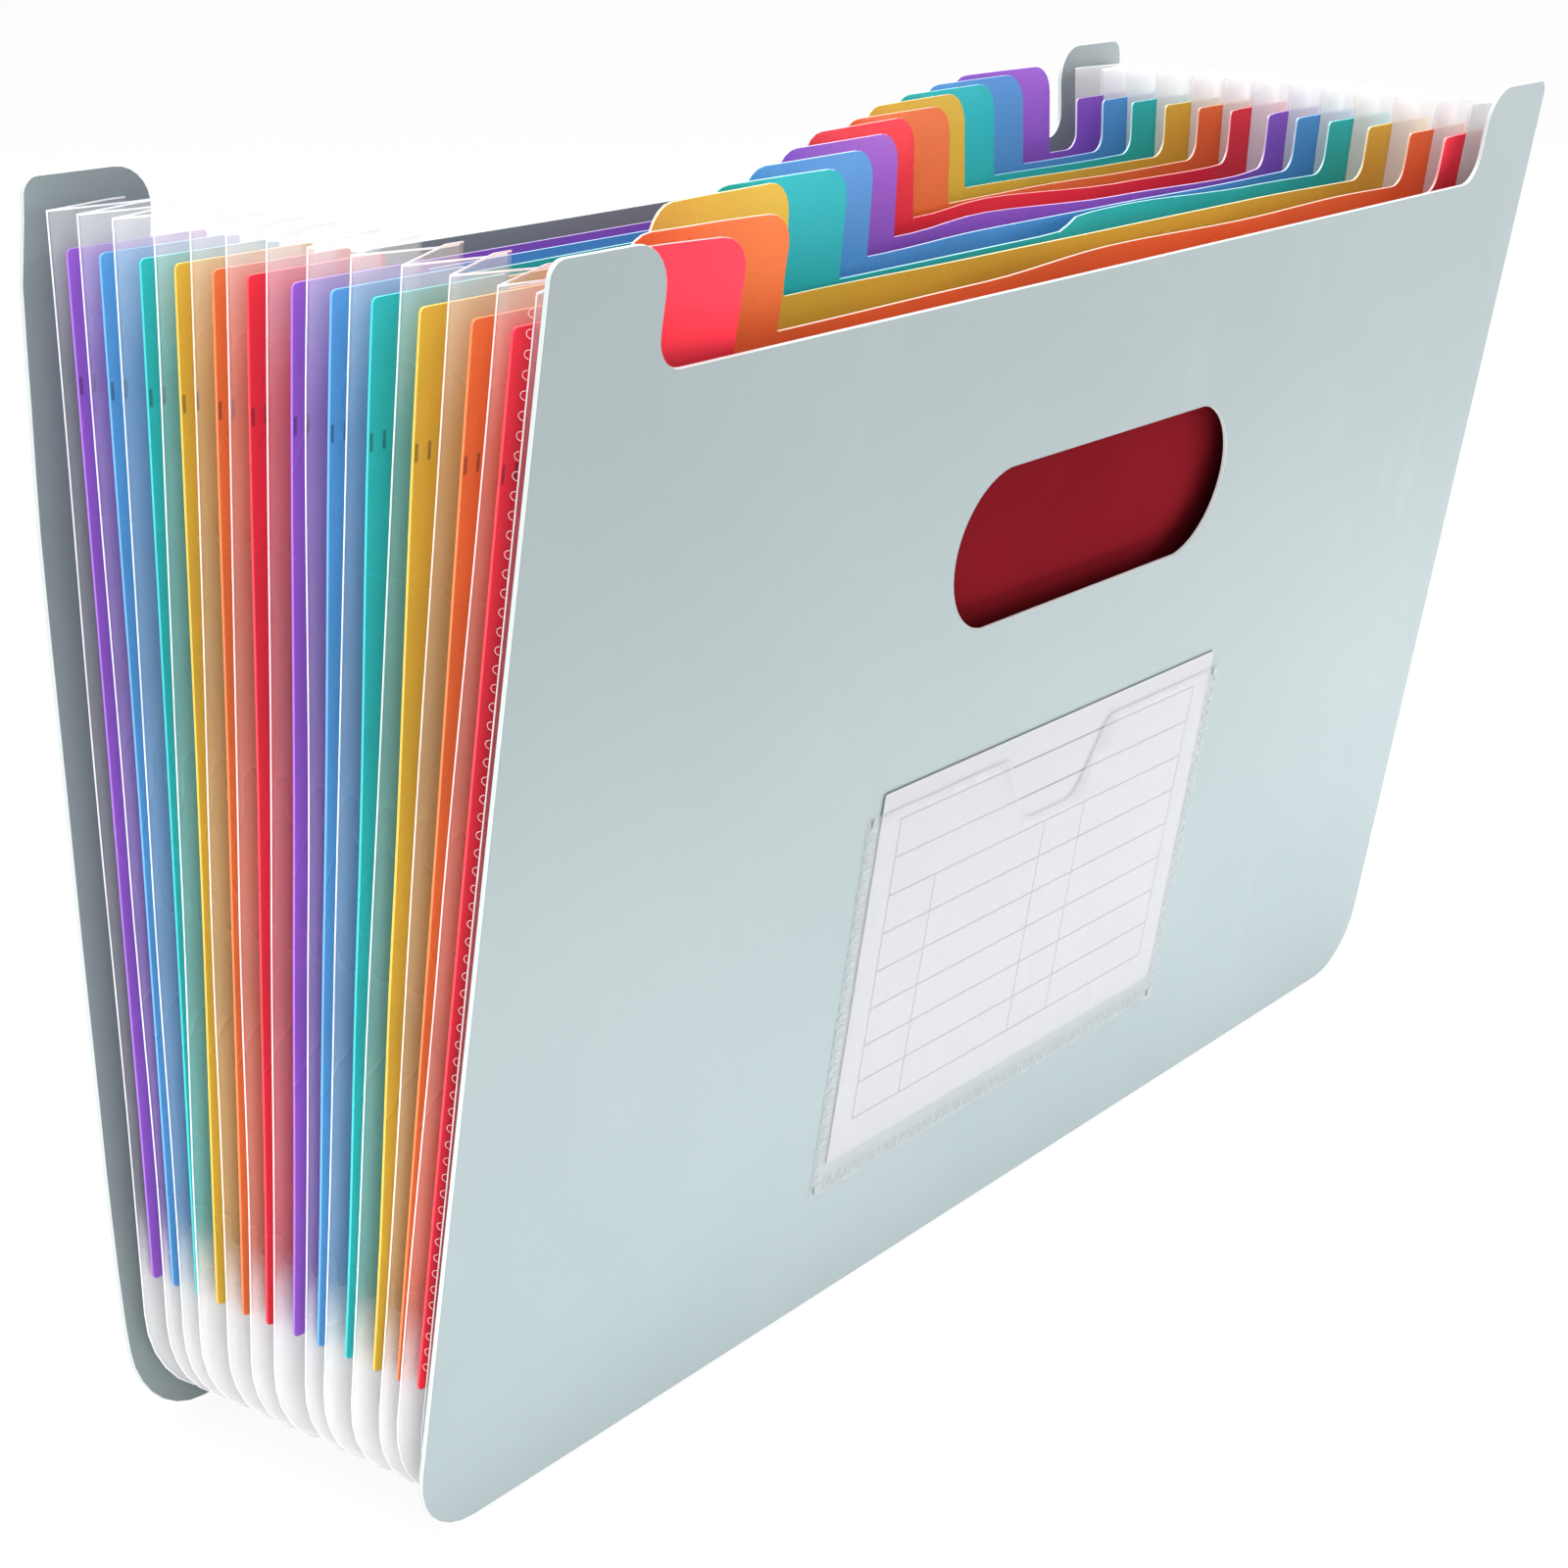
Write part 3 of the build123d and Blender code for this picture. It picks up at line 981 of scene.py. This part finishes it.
def pocketOutline():
    half, foot = labelLook["width"] / 2, labelLook["rise"]
    top = foot + labelLook["height"]
    notchTop, notchFloor, notchDepth = labelLook["notch"]
    notchLevel = top - notchDepth
    radius = labelLook["cornerRadius"]
    topRadius, floorRadius = labelLook["notchRadii"]
    corners = [(-half, foot, radius), (half, foot, radius), (half, top, radius)]
    corners += [(notchTop / 2, top, topRadius), (notchFloor / 2, notchLevel, floorRadius)]
    corners += [(-notchFloor / 2, notchLevel, floorRadius), (-notchTop / 2, top, topRadius)]
    corners += [(-half, top, radius)]
    return filleted(corners)


sideCuts = list(labelLook["sideCuts"])
pocketAcross = steps(*labelLook["across"]) + [-cut for cut in reversed(sideCuts)] + sideCuts
pocketUp = list(labelLook["footCuts"]) + steps(*labelLook["up"])
pocket = cutSheet("label_pocket_film", [pocketOutline()], pocketAcross, pocketUp, pocketShape,
                  labelLook["film"], [labelFilm])
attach(pocket, "front_cover")
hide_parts("label_pocket")


def pocketRibs():
    # the ribbed welds at both sides and along the foot
    ribHalf, ribRun, ribFoot = labelLook["ribHalf"], labelLook["ribRun"], labelLook["ribFoot"]
    ribs = []
    for v in steps(*labelLook["ribsUp"], labelLook["ribPitch"]):
        for way in (-1, 1):
            side = way * labelLook["ribSide"]
            ribs.append([(side, v), (side, v + ribHalf), (side + way * ribRun, v)])
    for u in steps(*labelLook["ribsAcross"], labelLook["ribPitch"]):
        ribs.append([(u, ribFoot), (u + ribHalf, ribFoot), (u, ribFoot - ribRun)])
    lifted = onCover(labelLook["ribLift"])
    spots = [[lifted(u, v) for u, v in rib] for rib in ribs]
    return weldLoops("label_pocket_ribs", spots, labelLook["ribRadius"], labelWeld)


ribs = pocketRibs()
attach(ribs, "front_cover")


def boxed(left, foot, right, top, radius):
    return [(left, foot, radius), (right, foot, radius), (right, top, radius), (left, top, radius)]


# the small gap that the weld leaves at each corner
markWide, markHigh = labelLook["markHalf"]
for count, (u, v) in enumerate(labelLook["marks"]):
    corners = boxed(u - markWide, v - markHigh, u + markWide, v + markHigh, labelLook["markRadius"])
    mark = cutSheet(f"label_pocket_mark_{count}", [filleted(corners, segments=4)], [u], [v],
                    onCover(labelLook["markLift"]), labelLook["markThick"], [labelMark])
    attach(mark, "front_cover")

cardWidth, cardHeight, cardThick = labelLook["card"]
cardFoot = labelLook["cardFoot"]
cardCorners = boxed(-cardWidth / 2, cardFoot, cardWidth / 2, cardFoot + cardHeight, labelLook["cardRadius"])
card = cutSheet("label_card_sheet", [filleted(cardCorners)], steps(*labelLook["cardAcross"]),
                steps(*labelLook["cardUp"]), onCover(labelLook["cardLift"]), cardThick, [labelPaper],
                labelLook["cardBevel"])
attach(card, "label_card")
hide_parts("label_card")


print("stage: camera and light")

floorLook = {"half": 4, "drop": 0.0006, "paint": (0.92, 0.92, 0.92, 1), "white": 0.92}
lightLook = {
    "world": 0.72,
    "aim": (0.0, 0.0, 0.1),
    "lamps": [
        ("sideLamp", (0.85, -0.75, 0.12), 0.8, 12.0),
        ("topLamp", (-0.2, 0.0, 1.8), 1.8, 40.0),
        ("fillLamp", (-1.25, -0.75, 0.35), 1.2, 7.0),
        ("backLamp", (0.4, 1.3, 0.6), 1.2, 13.0),
    ],
    # a long low lamp before the front cover, as light from the table
    "strip": {"at": (0.05, -0.16, 0.028), "aim": (0.05, -0.02, 0.0), "size": (0.8, 0.05), "power": 0.6},
}
cameraLook = {
    "at": (-0.493367, -0.335344, 0.284273),
    "turn": (71.66524, -0.36137, -53.41095),
    "lens": 70.3804,
}


def seen(tree):
    # 1 for rays that show a surface to the camera, straight on, in gloss or through clear plastic
    paths = tree.nodes.new("ShaderNodeLightPath")
    shown = larger(tree, paths.outputs["Is Camera Ray"], paths.outputs["Is Glossy Ray"])
    return larger(tree, shown, paths.outputs["Is Transmission Ray"])


def split(tree, share, first, second, output):
    # the second shader takes the share and the first the rest
    show, out = tree.nodes.new("ShaderNodeMixShader"), tree.nodes.new(output)
    feed(tree, share, show.inputs[0])
    feed(tree, first.outputs[0], show.inputs[1])
    feed(tree, second.outputs[0], show.inputs[2])
    feed(tree, show.outputs[0], out.inputs[0])


# the floor glows white to the camera and takes the shadow
far = floorLook["half"]
floorMesh = bpy.data.meshes.new("floor")
floorMesh.from_pydata([(-far, -far, 0), (far, -far, 0), (far, far, 0), (-far, far, 0)], [], [(0, 1, 2, 3)])
floorPiece = bpy.data.objects.new("floor", floorMesh)
floorPiece.location.z = -floorLook["drop"]
scene.collection.objects.link(floorPiece)
floorMaterial = bpy.data.materials.new("floorPaper")
floorMaterial.use_nodes = True
floorTree = floorMaterial.node_tree
floorTree.nodes.clear()
paint, glow = floorTree.nodes.new("ShaderNodeBsdfDiffuse"), floorTree.nodes.new("ShaderNodeEmission")
paint.inputs["Color"].default_value = floorLook["paint"]
glow.inputs["Strength"].default_value = 1.0
whiteShare = times(floorTree, seen(floorTree), floorLook["white"])
split(floorTree, whiteShare, paint, glow, "ShaderNodeOutputMaterial")
floorMesh.materials.append(floorMaterial)

world = bpy.data.worlds.new("whiteRoom")
scene.world = world
world.use_nodes = True
worldTree = world.node_tree
worldTree.nodes.clear()
lit = worldTree.nodes.new("ShaderNodeBackground")
back = worldTree.nodes.new("ShaderNodeBackground")
lit.inputs["Strength"].default_value = lightLook["world"]
lit.inputs["Color"].default_value = (1, 1, 1, 1)
back.inputs["Color"].default_value = (1, 1, 1, 1)
split(worldTree, seen(worldTree), lit, back, "ShaderNodeOutputWorld")


def hangLamp(name, at, aim, power):
    holder = bpy.data.objects.new(name, bpy.data.lights.new(name, "AREA"))
    holder.data.energy = power
    holder.location = at
    holder.rotation_euler = (Vector(aim) - Vector(at)).to_track_quat("-Z", "Y").to_euler()
    scene.collection.objects.link(holder)
    return holder


for name, at, size, power in lightLook["lamps"]:
    hangLamp(name, at, lightLook["aim"], power).data.size = size
stripLook = lightLook["strip"]
strip = hangLamp("tableStrip", stripLook["at"], stripLook["aim"], stripLook["power"])
strip.data.shape = "RECTANGLE"
strip.data.size, strip.data.size_y = stripLook["size"]
strip.visible_camera = False

camera = bpy.data.cameras.new("photoView")
camera.lens = cameraLook["lens"]
camera.sensor_width = 36.0
camera.clip_start = 0.01
viewer = bpy.data.objects.new("photoView", camera)
viewer.location = cameraLook["at"]
viewer.rotation_euler = Euler([math.radians(a) for a in cameraLook["turn"]], "XYZ")
scene.collection.objects.link(viewer)
scene.camera = viewer
scene.view_settings.view_transform = "Standard"
scene.cycles.transparent_max_bounces = 64  # the films lie many deep
scene.cycles.max_bounces = 24
scene.cycles.transmission_bounces = 24

bpy.context.view_layer.update()
